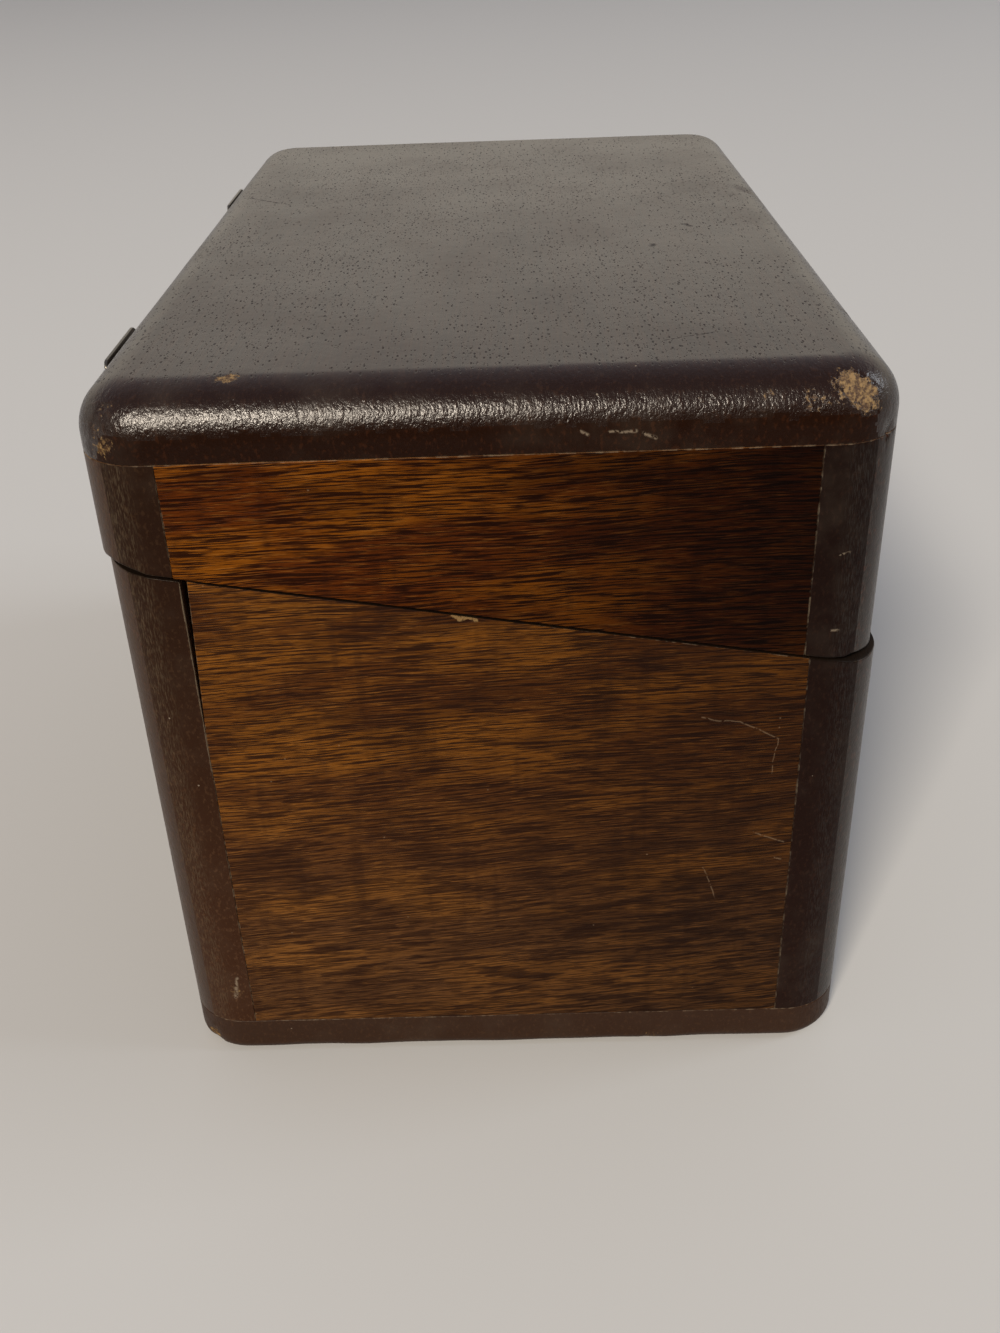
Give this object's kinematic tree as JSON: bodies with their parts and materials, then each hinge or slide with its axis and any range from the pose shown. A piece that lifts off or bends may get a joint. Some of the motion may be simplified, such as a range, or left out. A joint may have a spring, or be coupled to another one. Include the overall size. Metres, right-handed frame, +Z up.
{
  "type": "hinged recipe card box",
  "caption": "Solid wood recipe card box with rounded top edges and a lid sawn off on a slant, on surface hinges at the rear.",
  "frame": {"origin": "centre of the underside of the base's bottom board", "axes": "+X along the box to its right end, +Y to the hinged rear, +Z up"},
  "size_m": [0.1564, 0.1014, 0.1033],
  "materials": {
    "dark_stained_wood": "dark brown stain under worn satin varnish, open pores, rubbed corners",
    "figured_end_wood": "red-brown figured grain under worn satin varnish",
    "hinge_steel": "dull plated sheet steel, tarnished",
    "screw_steel": "dull plated steel, slotted heads"
  },
  "bodies": {
    "base": {"base_bottom_board": "dark_stained_wood", "base_front_panel": "dark_stained_wood", "base_rear_panel": "dark_stained_wood", "base_left_end_panel": "figured_end_wood", "base_right_end_panel": "figured_end_wood", "left_hinge_base_leaf": "hinge_steel", "left_hinge_pin": "hinge_steel", "left_hinge_base_screws": "screw_steel", "right_hinge_base_leaf": "hinge_steel", "right_hinge_pin": "hinge_steel", "right_hinge_base_screws": "screw_steel"},
    "lid": {"lid_top_board": "dark_stained_wood", "lid_front_rail": "dark_stained_wood", "lid_rear_rail": "dark_stained_wood", "lid_left_end_panel": "figured_end_wood", "lid_right_end_panel": "figured_end_wood", "left_hinge_lid_leaf": "hinge_steel", "left_hinge_lid_screws": "screw_steel", "right_hinge_lid_leaf": "hinge_steel", "right_hinge_lid_screws": "screw_steel"}
  },
  "joints": [
    {"name": "lid_hinge", "type": "hinge", "parent": "base", "child": "lid", "pos_m": [0, 0.05105, 0.08168], "axis": [-1, 0, 0], "range_deg": [0, 180]}
  ]
}
